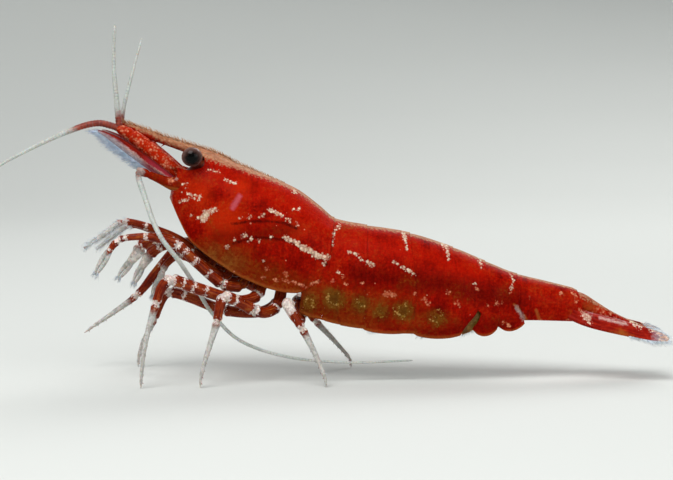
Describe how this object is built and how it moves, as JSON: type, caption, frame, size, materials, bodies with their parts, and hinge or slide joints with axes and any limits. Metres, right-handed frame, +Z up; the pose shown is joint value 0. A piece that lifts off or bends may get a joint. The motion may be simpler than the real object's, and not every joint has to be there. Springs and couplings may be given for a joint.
{
  "type": "aquarium shrimp",
  "caption": "Red freshwater dwarf shrimp, life size, standing still on its walking legs with its head raised and its feelers spread.",
  "frame": {"origin": "on the ground under the middle of the animal's box", "axes": "+X towards the tail with the head at -X, -Y is the animal's left side, +Z up"},
  "size_m": [0.0354, 0.0078, 0.0178],
  "materials": {
    "shell": "glossy deep red crustacean shell, a little see-through, with cream flecks and a pale line along the back",
    "belly": "soft brownish underside",
    "limb": "thin shell banded red-brown and white, pale and see-through near the tips",
    "blade": "thin see-through red to yellow blades fringed with fine pale bristles",
    "feeler": "whitish jointed feelers, red at the root",
    "eye": "glossy dark globe with a grey-brown rim"
  },
  "bodies": {
    "root": {"carapace": "shell", "rostrum": "shell", "thorax": "belly", "abdomen_segment_1": "shell", "abdomen_segment_2": "shell", "abdomen_segment_3": "shell", "abdomen_segment_4": "shell", "abdomen_segment_5": "shell", "abdomen_segment_6": "shell", "telson": "shell", "uropod_endopod_left": "blade", "uropod_endopod_right": "blade", "uropod_exopod_left": "blade", "uropod_exopod_right": "blade", "pleopod_1_left": "blade", "pleopod_1_right": "blade", "pleopod_2_left": "blade", "pleopod_2_right": "blade", "pleopod_3_left": "blade", "pleopod_3_right": "blade", "pleopod_4_left": "blade", "pleopod_4_right": "blade", "pleopod_5_left": "blade", "pleopod_5_right": "blade", "eye_left": "eye", "eye_right": "eye", "eyestalk_left": "shell", "eyestalk_right": "shell", "antennule_peduncle_left": "shell", "antennule_peduncle_right": "shell", "antennule_upper_left": "feeler", "antennule_upper_right": "feeler", "antennule_lower_left": "feeler", "antennule_lower_right": "feeler", "antenna_root_left": "limb", "antenna_root_right": "limb", "antenna_scale_left": "blade", "antenna_scale_right": "blade", "antenna_flagellum_left": "feeler", "antenna_flagellum_right": "feeler", "maxilliped_left": "limb", "maxilliped_right": "limb", "pereopod_1_left": "limb", "pereopod_1_right": "limb", "pereopod_2_left": "limb", "pereopod_2_right": "limb", "pereopod_3_left": "limb", "pereopod_3_right": "limb", "pereopod_4_left": "limb", "pereopod_4_right": "limb", "pereopod_5_left": "limb", "pereopod_5_right": "limb"}
  },
  "joints": []
}
